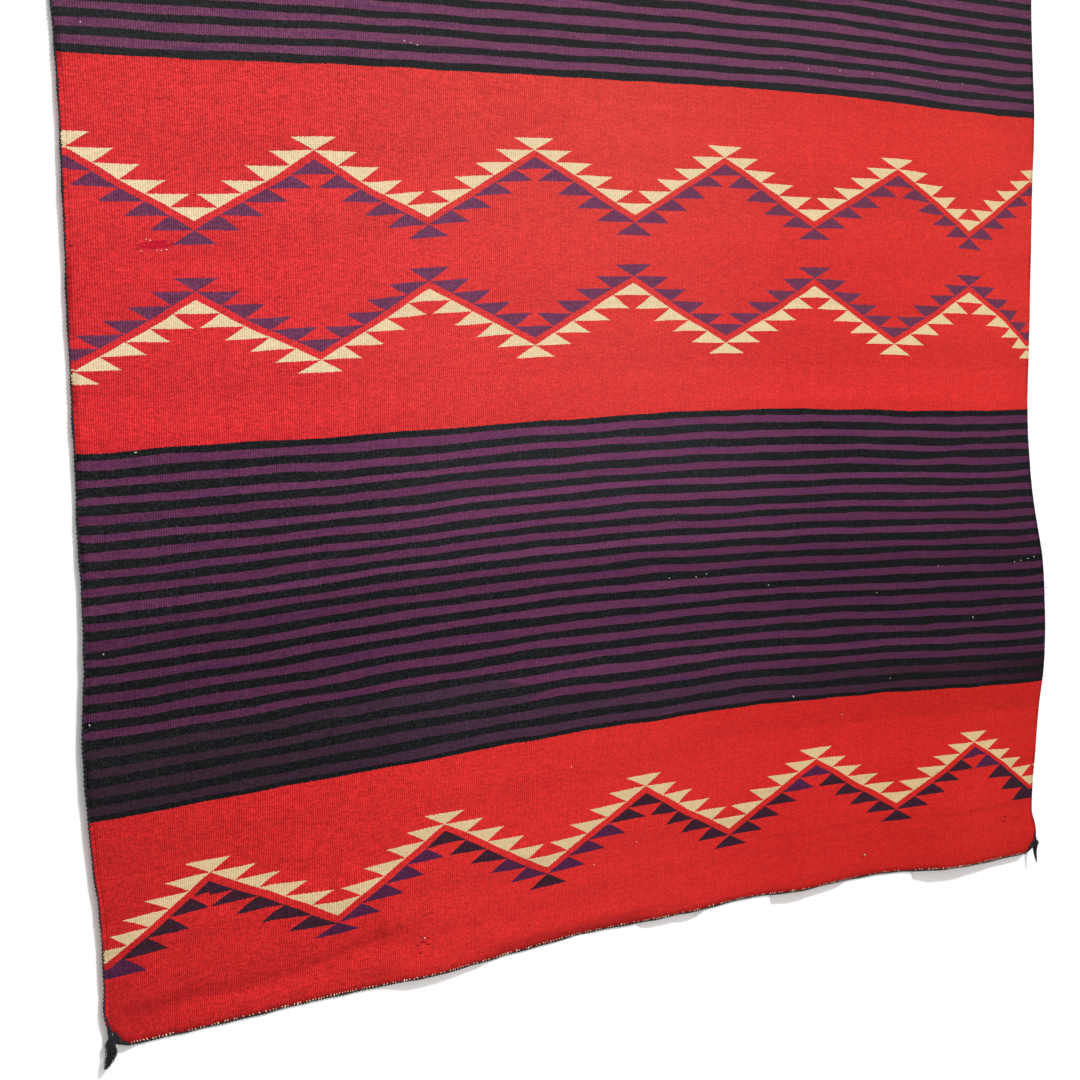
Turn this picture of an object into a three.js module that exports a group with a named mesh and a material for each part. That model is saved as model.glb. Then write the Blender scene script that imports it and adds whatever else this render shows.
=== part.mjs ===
// Serape: a hand-woven wearing blanket, hung flat by its top edge.
// Millimetres, +Z up, the woven face looks towards -Y, +X to the right of the face.
// The origin is the middle of the top edge, on top of the top end cord.
//
// The web is one piece of weft-faced tapestry. Its four sides are finished with
// twined cords: one down each side, one across each end, knotted into a short
// tassel at every corner. Nothing on a hand loom is quite straight, so the side
// edges, the bowed weft and the soft ripples each have a short table below.

import * as THREE from 'three';

// ---------------------------------------------------------------- sizes (mm)
const WEB_LENGTH = 1612;      // web, top edge to bottom edge
const WEB_MIDDLE = 640;       // from the left datum line to the origin's x
const WEB_NOMINAL = 1300;     // left datum line to right datum line
const WEB_THICK = 2.2;        // thickness of the web
const CORD_DIAMETER = 4.2;    // side and end cords
const CORD_SIDES = 8;
const GAP = 0.45;             // between the web and a cord laid along it
const CORNER_CLEAR = 3.4;     // an end cord, and a side cord's top, stop this far short of the web's corner
const KNOT_CLEAR = 15.5;       // a side cord's foot stops above the bottom corner's knot

const COLUMNS = 34;           // facets across the web
const BAND_ROWS = [           // the woven bands, top to bottom, with the facets down each
  { band: 'end_field_top', length: 242.9, facets: 5 },
  { band: 'stripes_upper', length: 369.6, facets: 8 },
  { band: 'middle_field', length: 391.5, facets: 9 },
  { band: 'stripes_lower', length: 369.6, facets: 9 },
  { band: 'end_field_bottom', length: 238.4, facets: 9 },
];

// Side edges: how far each outer edge lies to the right (+) of its datum line,
// at distance `down` from the top edge.
const EDGES = [
  { down: 0, left: 3, right: -18 },
  { down: 210, left: 0, right: -13 },
  { down: 360, left: -4, right: -20 },
  { down: 470, left: -7, right: -25 },
  { down: 555, left: -5.5, right: -21 },
  { down: 615, left: -2.7, right: -19.4 },
  { down: 745, left: -1.1, right: -22.7 },
  { down: 865, left: -1, right: -26 },
  { down: 1005, left: 0.4, right: -30 },
  { down: 1068, left: 0.6, right: -26.5 },
  { down: 1142, left: 2, right: -16 },
  { down: 1215, left: 2.2, right: -1 },
  { down: 1283, left: -2.3, right: 3 },
  { down: 1353, left: -1.2, right: 1.5 },
  { down: 1415, left: 2.4, right: -9.5 },
  { down: 1468, left: 7.4, right: -13.2 },
  { down: 1552, left: 9.4, right: -20.5 },
  { down: 1588, left: 9.8, right: -12 },
  { down: WEB_LENGTH, left: 23, right: -24 },
];

// Bowed weft: how far a straight row of weft has sunk (+) or risen (-) at each
// station across the web. `at` is the station, from the left datum line.
const BOW_DOWN = [0, 470, 612, 1004, 1102, 1199, 1290, 1373, WEB_LENGTH];
const BOW = [
  { at: 0, sink: [0, 1, 1, 3.3, 4, 2, 1.5, 6.4, 3] },
  { at: 160, sink: [0, 0, -0.3, 0.7, 2.3, -2, -1.4, 3, 3] },
  { at: 320, sink: [0, -3, -3.8, -0.8, -2.3, -10.5, -8.5, -1.9, 1.7] },
  { at: 480, sink: [0, -4, -4.4, -5.3, -8, -14.4, -13.3, -6.5, -0.3] },
  { at: 640, sink: [0, -5, -5, -7.5, -11, -16, -14.3, -8.5, -4.7] },
  { at: 800, sink: [0, -4, -4.6, -7.5, -7.3, -12.6, -11.9, -8.4, -5.8] },
  { at: 960, sink: [0, -1, -1.8, -1.3, -2.7, -5.2, -3.3, -1.2, -1] },
  { at: 1120, sink: [0, 5, 6.6, 8.3, 7, 3.1, 6.8, 7.9, 9.9] },
  { at: 1280, sink: [0, 10, 12.8, 12.5, 13, 11, 15, 17.5, 17] },
];

// Flutes: soft upright ripples that open towards the bottom edge.
const FLUTES = [
  { x: 60, lean: -20, width: 60, lift: 5, starts: 900 },
  { x: 372, lean: 26, width: 58, lift: 7, starts: 1230 },
  { x: 548, lean: 10, width: 46, lift: -2.5, starts: 1180 },
  { x: 690, lean: -18, width: 62, lift: 9, starts: 1120 },
  { x: 888, lean: 14, width: 56, lift: 10, starts: 1180 },
  { x: 1012, lean: 8, width: 40, lift: -2, starts: 1150 },
  { x: 1150, lean: -22, width: 70, lift: 13, starts: 1060 },
];

// Creases: soft ridges (+) and troughs (-) along a line from (x, down) to (x2, down2).
const CREASES = [
  { x: 40, down: 1592, x2: 300, down2: 1552, width: 15, lift: -7.5 },
  { x: 100, down: 1606, x2: 330, down2: 1574, width: 13, lift: 3.4 },
  { x: 60, down: 1560, x2: 320, down2: 1518, width: 26, lift: 3.2 },
  { x: 330, down: 1536, x2: 470, down2: 1590, width: 22, lift: 2.4 },
  { x: 470, down: 1618, x2: 700, down2: 1616, width: 17, lift: -5 },
  { x: 820, down: 1560, x2: 1120, down2: 1545, width: 24, lift: 2.2 },
  { x: 760, down: 1210, x2: 1260, down2: 1150, width: 90, lift: 3.2 },
  { x: 120, down: 1080, x2: 560, down2: 1180, width: 100, lift: -2.6 },
  { x: 60, down: 850, x2: 520, down2: 838, width: 44, lift: 1.8 },
  { x: 560, down: 700, x2: 1240, down2: 760, width: 90, lift: -2.4 },
  { x: 200, down: 420, x2: 700, down2: 330, width: 120, lift: 3 },
  { x: 900, down: 300, x2: 1250, down2: 460, width: 110, lift: 3.4 },
];

// Curls: a side edge that stands forward off its plane, over a length of the edge.
const CURLS = [
  { side: 'right', down: 1318, reach: 105, width: 55, lift: 12 },
  { side: 'right', down: 1600, reach: 60, width: 60, lift: 4 },
  { side: 'right', down: 620, reach: 90, width: 42, lift: 3 },
  { side: 'left', down: 1270, reach: 150, width: 46, lift: 3.5 },
  { side: 'left', down: 760, reach: 90, width: 34, lift: 2 },
];

// A lifted ripple draws the web sideways towards the left by this share of its lift.
const DRAW_FROM = 307;
const DRAW_OVER = 1607;

// Corner tassels: where the knot sits from the web's corner, how the tail hangs, and
// how long and how full the tail is against the common outline.
const TASSELS = [
  { node: 'tassel_bottom_left', column: 0, row: 1, out: -9.6, below: -5.2, swing: 15, forward: 5, long: 0.84, full: 1 },
  { node: 'tassel_bottom_right', column: 1, row: 1, out: 10.6, below: -7.4, swing: -4, forward: 4, long: 0.72, full: 0.62 },
  { node: 'tassel_top_left', column: 0, row: 0, out: -7.2, below: -4.6, swing: 24, forward: 9, long: 0.9, full: 0.9 },
  { node: 'tassel_top_right', column: 1, row: 0, out: 7.2, below: -4.6, swing: -24, forward: 9, long: 0.8, full: 0.8 },
];
const NECK = -6.2;            // below this the outline is the tail
const TASSEL_PROFILE = [      // one turned outline: a round knot, its neck, and the tuft
  { radius: 0, along: 5.4 },
  { radius: 3.2, along: 4.4 },
  { radius: 5.4, along: 0.6 },
  { radius: 4.9, along: -3.4 },
  { radius: 3.2, along: -6.2 },
  { radius: 4.6, along: -12 },
  { radius: 4.2, along: -21 },
  { radius: 2.2, along: -29 },
  { radius: 0, along: -32 },
];

// ------------------------------------------------------------------ helpers
// Smooth curve through unevenly spaced stations, held level past both ends.
function smooth(stations, values, s) {
  const n = stations.length;
  if (s <= stations[0]) return values[0];
  if (s >= stations[n - 1]) return values[n - 1];
  let i = 0;
  while (s > stations[i + 1]) i += 1;
  const slope = (k) => {
    if (k <= 0 || k >= n - 1) return 0;
    return (values[k + 1] - values[k - 1]) / (stations[k + 1] - stations[k - 1]);
  };
  const h = stations[i + 1] - stations[i];
  const t = (s - stations[i]) / h;
  const t2 = t * t;
  const t3 = t2 * t;
  return (2 * t3 - 3 * t2 + 1) * values[i] + (t3 - 2 * t2 + t) * h * slope(i)
    + (3 * t2 - 2 * t3) * values[i + 1] + (t3 - t2) * h * slope(i + 1);
}

const edgeDowns = EDGES.map((e) => e.down);
const leftEdge = (down) => smooth(edgeDowns, EDGES.map((e) => e.left), down);
const rightEdge = (down) => WEB_NOMINAL + smooth(edgeDowns, EDGES.map((e) => e.right), down);

function sink(x, down) {
  return smooth(BOW.map((b) => b.at), BOW.map((b) => smooth(BOW_DOWN, b.sink, down)), x);
}

const bell = (d, width) => Math.exp(-((d / width) ** 2));

function lift(x, down) {
  let sum = 0;
  for (const f of FLUTES) {
    if (down <= f.starts) continue;
    const open = (down - f.starts) / (WEB_LENGTH - f.starts);
    const eased = open * open * (3 - 2 * open);
    sum += f.lift * eased * bell(x - f.x - f.lean * (1 - open), f.width);
  }
  for (const c of CREASES) {
    const dx = c.x2 - c.x;
    const dd = c.down2 - c.down;
    const t = ((x - c.x) * dx + (down - c.down) * dd) / (dx * dx + dd * dd);
    const k = Math.min(1, Math.max(0, t));
    const off = Math.hypot(x - c.x - k * dx, down - c.down - k * dd);
    sum += c.lift * bell(off, c.width);
  }
  for (const c of CURLS) {
    const edge = c.side === 'left' ? leftEdge(down) : rightEdge(down);
    sum += c.lift * bell(down - c.down, c.reach) * bell(x - edge, c.width);
  }
  // the held top edge lies flat
  const free = Math.min(1, down / 160);
  return sum * free * free * (3 - 2 * free);
}

// A point of the web's middle surface, from its place in the flat web.
function webPoint(x, down) {
  const forward = lift(x, down);
  const drawn = (x + DRAW_FROM) * forward / DRAW_OVER;
  return new THREE.Vector3(x - drawn - WEB_MIDDLE, -forward, -(down + sink(x, down)) - TOP_RISE);
}

const TOP_RISE = CORD_DIAMETER + GAP;   // the top cord stands on the web's top edge

function downStations() {
  const out = [0];
  let start = 0;
  for (const b of BAND_ROWS) {
    for (let i = 1; i <= b.facets; i += 1) out.push(start + b.length * i / b.facets);
    start += b.length;
  }
  return out;
}

// The web's own edge is inside its side cord.
const CORD_ROOM = CORD_DIAMETER + GAP;
const webX = (share, down) => {
  const l = leftEdge(down) + CORD_ROOM;
  const r = rightEdge(down) - CORD_ROOM;
  return l + (r - l) * share;
};

// ------------------------------------------------------------------ the web
function webGeometry() {
  const downs = downStations();
  const rows = downs.length;
  const cols = COLUMNS + 1;
  const mid = downs.map((d) => Array.from({ length: cols }, (_, i) => webPoint(webX(i / COLUMNS, d), d)));
  const normal = (r, c) => {
    const a = mid[Math.max(0, r - 1)][c];
    const b = mid[Math.min(rows - 1, r + 1)][c];
    const p = mid[r][Math.max(0, c - 1)];
    const q = mid[r][Math.min(cols - 1, c + 1)];
    return q.clone().sub(p).cross(a.clone().sub(b)).normalize();   // faces -Y
  };
  const position = [];
  for (const side of [1, -1]) {
    for (let r = 0; r < rows; r += 1) {
      for (let c = 0; c < cols; c += 1) {
        const p = mid[r][c].clone().addScaledVector(normal(r, c), side * WEB_THICK / 2);
        position.push(p.x, p.y, p.z);
      }
    }
  }
  const index = [];
  const front = (r, c) => r * cols + c;
  const back = (r, c) => rows * cols + r * cols + c;
  const quad = (a, b, c, d) => index.push(a, b, c, a, c, d);
  for (let r = 0; r < rows - 1; r += 1) {
    for (let c = 0; c < cols - 1; c += 1) {
      quad(front(r, c), front(r + 1, c), front(r + 1, c + 1), front(r, c + 1));
      quad(back(r, c), back(r, c + 1), back(r + 1, c + 1), back(r + 1, c));
    }
  }
  for (let r = 0; r < rows - 1; r += 1) {
    quad(front(r, 0), back(r, 0), back(r + 1, 0), front(r + 1, 0));
    quad(front(r, cols - 1), front(r + 1, cols - 1), back(r + 1, cols - 1), back(r, cols - 1));
  }
  for (let c = 0; c < cols - 1; c += 1) {
    quad(front(0, c), front(0, c + 1), back(0, c + 1), back(0, c));
    quad(front(rows - 1, c), back(rows - 1, c), back(rows - 1, c + 1), front(rows - 1, c + 1));
  }
  const g = new THREE.BufferGeometry();
  g.setAttribute('position', new THREE.Float32BufferAttribute(position, 3));
  g.setIndex(index);
  g.computeVertexNormals();
  return g;
}

// ---------------------------------------------------------------- the cords
// A run of straight steps through the given points, one step a segment.
class Run extends THREE.Curve {
  constructor(points) {
    super();
    this.points = points;
  }

  getPoint(t, target = new THREE.Vector3()) {
    const n = this.points.length - 1;
    const s = Math.min(n, Math.max(0, t * n));
    const i = Math.min(n - 1, Math.floor(s));
    return target.copy(this.points[i]).lerp(this.points[i + 1], s - i);
  }

  getPointAt(u, target) { return this.getPoint(u, target); }

  getTangentAt(u) {
    const n = this.points.length - 1;
    const step = 0.5 / n;
    return this.getPoint(Math.min(1, u + step)).sub(this.getPoint(Math.max(0, u - step))).normalize();
  }
}

function cordGeometry(points) {
  const ring = new THREE.Shape();
  for (let i = 0; i < CORD_SIDES; i += 1) {
    const a = (i + 0.5) * 2 * Math.PI / CORD_SIDES;
    const x = CORD_DIAMETER / 2 * Math.cos(a);
    const y = CORD_DIAMETER / 2 * Math.sin(a);
    if (i === 0) ring.moveTo(x, y);
    else ring.lineTo(x, y);
  }
  ring.closePath();
  return new THREE.ExtrudeGeometry(ring, {
    steps: points.length - 1, bevelEnabled: false, extrudePath: new Run(points), curveSegments: 1,
  });
}

// A side cord lies just outside the web's side edge, row for row.
function sideCord(share) {
  const out = share === 0 ? -1 : 1;
  const downs = downStations();
  downs[0] = CORNER_CLEAR;
  downs[downs.length - 1] = WEB_LENGTH - KNOT_CLEAR;
  return downs.map((d) => {
    const p = webPoint(webX(share, d), d);
    p.x += out * (GAP + CORD_DIAMETER / 2);
    return p;
  });
}

// An end cord lies just past the web's end edge, column for column.
function endCord(down) {
  const out = down === 0 ? 1 : -1;
  const width = webX(1, down) - webX(0, down);
  return Array.from({ length: COLUMNS + 1 }, (_, i) => {
    let share = i / COLUMNS;
    if (i === 0) share = CORNER_CLEAR / width;
    if (i === COLUMNS) share = 1 - CORNER_CLEAR / width;
    const p = webPoint(webX(share, down), down);
    p.z += out * (GAP + CORD_DIAMETER / 2);
    return p;
  });
}

// -------------------------------------------------------------- the tassels
function tasselGeometry(long, full) {
  const outline = TASSEL_PROFILE.map((p) => {
    const tail = p.along < NECK;
    return new THREE.Vector2(tail ? p.radius * full : p.radius, tail ? NECK + (p.along - NECK) * long : p.along);
  });
  const g = new THREE.LatheGeometry(outline.reverse(), 12);   // turned about Y, knot up
  g.rotateX(Math.PI / 2);                                     // now along Z
  return g;
}

// ---------------------------------------------------------------- the scene
const wool = (hex) => new THREE.MeshStandardMaterial({ color: hex, roughness: 0.95, metalness: 0 });

const serape = new THREE.Group();
serape.name = 'serape';

function place(name, geometry, material) {
  const mesh = new THREE.Mesh(geometry, material);
  mesh.name = name;
  serape.add(mesh);
  return mesh;
}

place('serape_cloth', webGeometry(), wool(0xc8262b));
place('side_cord_left', cordGeometry(sideCord(0)), wool(0x1d1b1d));
place('side_cord_right', cordGeometry(sideCord(1)), wool(0x1d1b1d));
place('end_cord_top', cordGeometry(endCord(0)), wool(0x1d1b1d));
place('end_cord_bottom', cordGeometry(endCord(WEB_LENGTH)), wool(0x1d1b1d));
for (const t of TASSELS) {
  const down = t.row * WEB_LENGTH;
  const corner = webPoint(webX(t.column, down), down);
  const mesh = place(t.node, tasselGeometry(t.long, t.full), wool(0x17171d));
  mesh.position.set(corner.x + t.out, corner.y, corner.z - t.below);
  mesh.rotation.set(THREE.MathUtils.degToRad(-t.forward), THREE.MathUtils.degToRad(t.swing), 0);
}

export default serape;
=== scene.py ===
import math
import random

import bpy
import numpy as np
from mathutils import Matrix, Vector


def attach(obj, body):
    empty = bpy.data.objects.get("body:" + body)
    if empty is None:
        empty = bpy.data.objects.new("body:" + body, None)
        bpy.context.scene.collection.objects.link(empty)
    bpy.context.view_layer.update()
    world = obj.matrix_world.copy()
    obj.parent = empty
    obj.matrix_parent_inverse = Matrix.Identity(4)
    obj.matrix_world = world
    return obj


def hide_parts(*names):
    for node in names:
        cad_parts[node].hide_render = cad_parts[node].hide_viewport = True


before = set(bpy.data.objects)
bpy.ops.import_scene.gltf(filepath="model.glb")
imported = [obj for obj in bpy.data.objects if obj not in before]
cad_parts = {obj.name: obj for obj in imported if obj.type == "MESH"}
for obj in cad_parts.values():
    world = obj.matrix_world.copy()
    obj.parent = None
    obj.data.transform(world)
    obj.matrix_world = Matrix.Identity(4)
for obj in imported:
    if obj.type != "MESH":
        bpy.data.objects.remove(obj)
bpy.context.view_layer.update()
random.seed(71)
rng = np.random.default_rng(71)
MM = 0.001

# ---------------------------------------------------------------- camera
# The viewing angle: left of the textile, looking a little down at it.
YAW, PITCH, ROLL = 0.47669, -0.06806, -0.01904
cy, sy, cp, sp = math.cos(YAW), math.sin(YAW), math.cos(PITCH), math.sin(PITCH)
look = Vector((sy * cp, cy * cp, sp))
side = Vector((cy, -sy, 0.0))
rise = side.cross(look)
cr, sr = math.cos(ROLL), math.sin(ROLL)
side, rise = cr * side + sr * rise, -sr * side + cr * rise
cam_data = bpy.data.cameras.new("view")
cam_data.sensor_fit = "HORIZONTAL"
cam_data.sensor_width = 36.0
cam_data.lens = 1583.9 / 1080 * 36
cam_data.shift_y = -110 / 1080
cam_data.clip_start, cam_data.clip_end = 0.05, 60
cam = bpy.data.objects.new("view", cam_data)
bpy.context.collection.objects.link(cam)
cam.matrix_world = Matrix((
    (side.x, rise.x, -look.x, -0.94680),
    (side.y, rise.y, -look.y, -1.60668),
    (side.z, rise.z, -look.z, -0.89004),
    (0, 0, 0, 1)))
bpy.context.scene.camera = cam
bpy.context.scene.view_settings.view_transform = "Standard"
bpy.context.scene.view_settings.look = "None"

# ---------------------------------------------------------------- sizes (mm), as the CAD solids have them
WEB_LENGTH = 1612.0
WEB_MIDDLE = 640.0
WEB_NOMINAL = 1300.0
WEB_THICK = 2.2
CORD = 4.2
GAP = 0.45
TOP_RISE = CORD + GAP
CORD_ROOM = CORD + GAP
MID_ROW = 612.5            # where the middle red field starts, down from the top edge

EDGES = [  # down, left, right
    (0, 3, -18), (210, 0, -13), (360, -4, -20), (470, -7, -25), (555, -5.5, -21), (615, -2.7, -19.4),
    (745, -1.1, -22.7), (865, -1, -26), (1005, 0.4, -30), (1068, 0.6, -26.5), (1142, 2, -16),
    (1215, 2.2, -1), (1283, -2.3, 3), (1353, -1.2, 1.5), (1415, 2.4, -9.5), (1468, 7.4, -13.2),
    (1552, 9.4, -20.5), (1588, 9.8, -12), (1612, 23, -24)]
BOW_DOWN = [0, 470, 612, 1004, 1102, 1199, 1290, 1373, 1612]
BOW = {  # station across: sink at each of BOW_DOWN
    0: (0, 1, 1, 3.3, 4, 2, 1.5, 6.4, 3),
    160: (0, 0, -0.3, 0.7, 2.3, -2, -1.4, 3, 3),
    320: (0, -3, -3.8, -0.8, -2.3, -10.5, -8.5, -1.9, 1.7),
    480: (0, -4, -4.4, -5.3, -8, -14.4, -13.3, -6.5, -0.3),
    640: (0, -5, -5, -7.5, -11, -16, -14.3, -8.5, -4.7),
    800: (0, -4, -4.6, -7.5, -7.3, -12.6, -11.9, -8.4, -5.8),
    960: (0, -1, -1.8, -1.3, -2.7, -5.2, -3.3, -1.2, -1),
    1120: (0, 5, 6.6, 8.3, 7, 3.1, 6.8, 7.9, 9.9),
    1280: (0, 10, 12.8, 12.5, 13, 11, 15, 17.5, 17)}
FLUTES = [  # x, lean, width, lift, starts
    (60, -20, 60, 5, 900), (372, 26, 58, 7, 1230), (548, 10, 46, -2.5, 1180),
    (690, -18, 62, 9, 1120), (888, 14, 56, 10, 1180), (1012, 8, 40, -2, 1150),
    (1150, -22, 70, 13, 1060)]
CREASES = [  # x, down, x2, down2, width, lift
    (40, 1592, 300, 1552, 15, -7.5), (100, 1606, 330, 1574, 13, 3.4), (60, 1560, 320, 1518, 26, 3.2),
    (330, 1536, 470, 1590, 22, 2.4), (470, 1618, 700, 1616, 17, -5), (820, 1560, 1120, 1545, 24, 2.2),
    (760, 1210, 1260, 1150, 90, 3.2), (120, 1080, 560, 1180, 100, -2.6), (60, 850, 520, 838, 44, 1.8),
    (560, 700, 1240, 760, 90, -2.4), (200, 420, 700, 330, 120, 3), (900, 300, 1250, 460, 110, 3.4)]
CURLS = [  # side (0 left, 1 right), down, reach, width, lift
    (1, 1318, 105, 55, 12), (1, 1600, 60, 60, 4), (1, 620, 90, 42, 3),
    (0, 1270, 150, 46, 3.5), (0, 760, 90, 34, 2)]
DRAW_FROM, DRAW_OVER = 307.0, 1607.0


def smooth(stations, values, s):
    """Smooth curve through uneven stations, held level past both ends. s is an array."""
    x = np.asarray(stations, float)
    y = np.asarray(values, float)
    s = np.clip(np.asarray(s, float), x[0], x[-1])
    m = np.zeros(len(x))
    m[1:-1] = (y[2:] - y[:-2]) / (x[2:] - x[:-2])
    i = np.clip(np.searchsorted(x, s, side="left") - 1, 0, len(x) - 2)
    h = x[i + 1] - x[i]
    t = (s - x[i]) / h
    t2, t3 = t * t, t * t * t
    return ((2 * t3 - 3 * t2 + 1) * y[i] + (t3 - 2 * t2 + t) * h * m[i]
            + (3 * t2 - 2 * t3) * y[i + 1] + (t3 - t2) * h * m[i + 1])


E_DOWN = [e[0] for e in EDGES]


def left_edge(down):
    return smooth(E_DOWN, [e[1] for e in EDGES], down)


def right_edge(down):
    return WEB_NOMINAL + smooth(E_DOWN, [e[2] for e in EDGES], down)


def sink(x, down):
    at = np.array(sorted(BOW), float)
    cols = np.stack([smooth(BOW_DOWN, BOW[int(k)], down) for k in at], 0)   # stations x points
    x = np.clip(x, at[0], at[-1])
    m = np.zeros_like(cols)
    m[1:-1] = (cols[2:] - cols[:-2]) / (at[2:] - at[:-2])[:, None]
    i = np.clip(np.searchsorted(at, x, side="left") - 1, 0, len(at) - 2)
    n = np.arange(len(x))
    h = at[i + 1] - at[i]
    t = (x - at[i]) / h
    t2, t3 = t * t, t * t * t
    return ((2 * t3 - 3 * t2 + 1) * cols[i, n] + (t3 - 2 * t2 + t) * h * m[i, n]
            + (3 * t2 - 2 * t3) * cols[i + 1, n] + (t3 - t2) * h * m[i + 1, n])


def bell(d, w):
    return np.exp(-(d / w) ** 2)


def lift(x, down):
    total = np.zeros_like(x)
    for fx, lean, width, up, starts in FLUTES:
        o = np.clip((down - starts) / (WEB_LENGTH - starts), 0, 1)
        total += up * o * o * (3 - 2 * o) * bell(x - fx - lean * (1 - o), width)
    for x1, d1, x2, d2, width, up in CREASES:
        dx, dd = x2 - x1, d2 - d1
        k = np.clip(((x - x1) * dx + (down - d1) * dd) / (dx * dx + dd * dd), 0, 1)
        total += up * bell(np.hypot(x - x1 - k * dx, down - d1 - k * dd), width)
    for where, d, reach, width, up in CURLS:
        e = right_edge(down) if where else left_edge(down)
        total += up * bell(down - d, reach) * bell(x - e, width)
    free = np.clip(down / 160, 0, 1)
    return total * free * free * (3 - 2 * free)


def web_point(x, down):
    """Middle surface of the web in metres, from a place in the flat web in mm."""
    x = np.asarray(x, float)
    down = np.broadcast_to(np.asarray(down, float), x.shape).astype(float)
    up = lift(x.ravel(), down.ravel()).reshape(x.shape)
    drop = sink(x.ravel(), down.ravel()).reshape(x.shape)
    return np.stack([x - (x + DRAW_FROM) * up / DRAW_OVER - WEB_MIDDLE, -up,
                     -(down + drop) - TOP_RISE], -1) * MM


def web_x(share, down):
    l = left_edge(down) + CORD_ROOM
    r = right_edge(down) - CORD_ROOM
    return l + (r - l) * share


# Drift of the hand-woven zigzags: how far each turn of the line sits from its even place.
TURNS = np.arange(11) * 130.0
DRIFT_X = {  # field row: shift of the places 0, 65, 130 ... 1300 across
    120: (0, 3, 0.3, -0.5, 0.3, -0.3, 0.6, 3.2, 3, 1.5, 4.9, 2, 0, 0.2, 2.3, 4.7, 8.5, 9.2, -6.2, -17, 0),
    265: (0, 3.9, -1.5, -2.8, 2.8, 0, -1.5, -1.5, -1.8, -4.9, -2.6, -2.9, -1.6, 3.2, 2.8, 1.6, -2, -0.2, -4.2, -7, 0),
    880: (0, 4.6, -9.4, -7, 4, 7.7, 3.7, 2.4, 1.8, 4.5, 9.8, -3.3, -5.3, -2.8, -1.5, -4.5, -0.2, 9.7, 4.8, -6.5, 0)}
DRIFT_DROP = {  # field row: drop of the same places
    120: (5, 7, 6.5, 7, 6.5, 7.5, 3, -1.5, -4.5, -3.5, -1.5, -1, -2, -0.5, -0.5, -0.5, -3.5, -1.1, -2.4, -2.0, -6),
    265: (6.7, 7.6, 9.5, 8.2, 5.8, 5.3, 1.7, 0.2, -1.6, 1.2, 2, 4, 5.4, 5.3, 3.3, 4.2, 1.9, 0.6, 0, 2.6, 4.2),
    880: (2.4, -0.5, -1.5, -2.9, 2, -3, -6.2, -1.3, 1.4, -1.1, -2.7, -3.4, 0.2, -1.2, -5, -0.2, -0.9, -6.3, -7, -4,
          -1.6)}
HALVES = np.arange(21) * 65.0


def chart_place(x, down):
    """Where a point of the web lies in the even chart of the design: (across 0..1300, row)."""
    row = down - MID_ROW
    l, r = left_edge(down) + CORD_ROOM, right_edge(down) - CORD_ROOM
    rows = np.array([-560, -488, -400, 0, 120, 265, 391, 761, 880, 1004], float)
    flat = np.zeros(21)
    shifts = np.array([flat, np.array(DRIFT_X[880][::-1]) * -0.6, flat, flat, DRIFT_X[120], DRIFT_X[265], flat, flat,
                       DRIFT_X[880], flat], float)
    drops = np.array([flat, np.array(DRIFT_DROP[880][::-1]) * 0.7, flat, flat, DRIFT_DROP[120], DRIFT_DROP[265],
                      flat, flat, DRIFT_DROP[880], flat], float)
    out_x = np.zeros_like(x)
    out_r = np.zeros_like(x)
    for k in range(x.shape[0]):                 # one woven row at a time
        rr = float(row[k, 0])
        i = int(np.clip(np.searchsorted(rows, rr) - 1, 0, len(rows) - 2))
        t = min(max((rr - rows[i]) / (rows[i + 1] - rows[i]), 0.0), 1.0)
        w = shifts[i] * (1 - t) + shifts[i + 1] * t
        d = drops[i] * (1 - t) + drops[i + 1] * t
        knots = HALVES + w
        knots[0], knots[-1] = l[k, 0], r[k, 0]
        out_x[k] = np.interp(x[k], knots, HALVES)
        out_r[k] = rr - np.interp(x[k], knots, d)
    return out_x, out_r


# ---------------------------------------------------------------- mesh helpers
def mesh_object(name, verts, faces, uvs=None, smooth_shade=True, attrs=None, places=None):
    me = bpy.data.meshes.new(name)
    me.from_pydata([tuple(v) for v in verts], [], [tuple(f) for f in faces])
    if smooth_shade:
        me.polygons.foreach_set("use_smooth", [True] * len(me.polygons))
    if uvs is not None:
        layer = me.uv_layers.new(name="chart")
        loops = np.empty(len(me.loops), np.int32)
        me.loops.foreach_get("vertex_index", loops)
        layer.data.foreach_set("uv", np.asarray(uvs, np.float32)[loops].ravel())
    if places is not None:
        layer = me.uv_layers.new(name="place")
        layer.data.foreach_set("uv", np.asarray(places, np.float32)[loops].ravel())
    for key, values in (attrs or {}).items():
        a = me.attributes.new(key, "FLOAT", "POINT")
        a.data.foreach_set("value", np.asarray(values, np.float32))
    me.update()
    o = bpy.data.objects.new(name, me)
    bpy.context.collection.objects.link(o)
    return o


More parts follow.
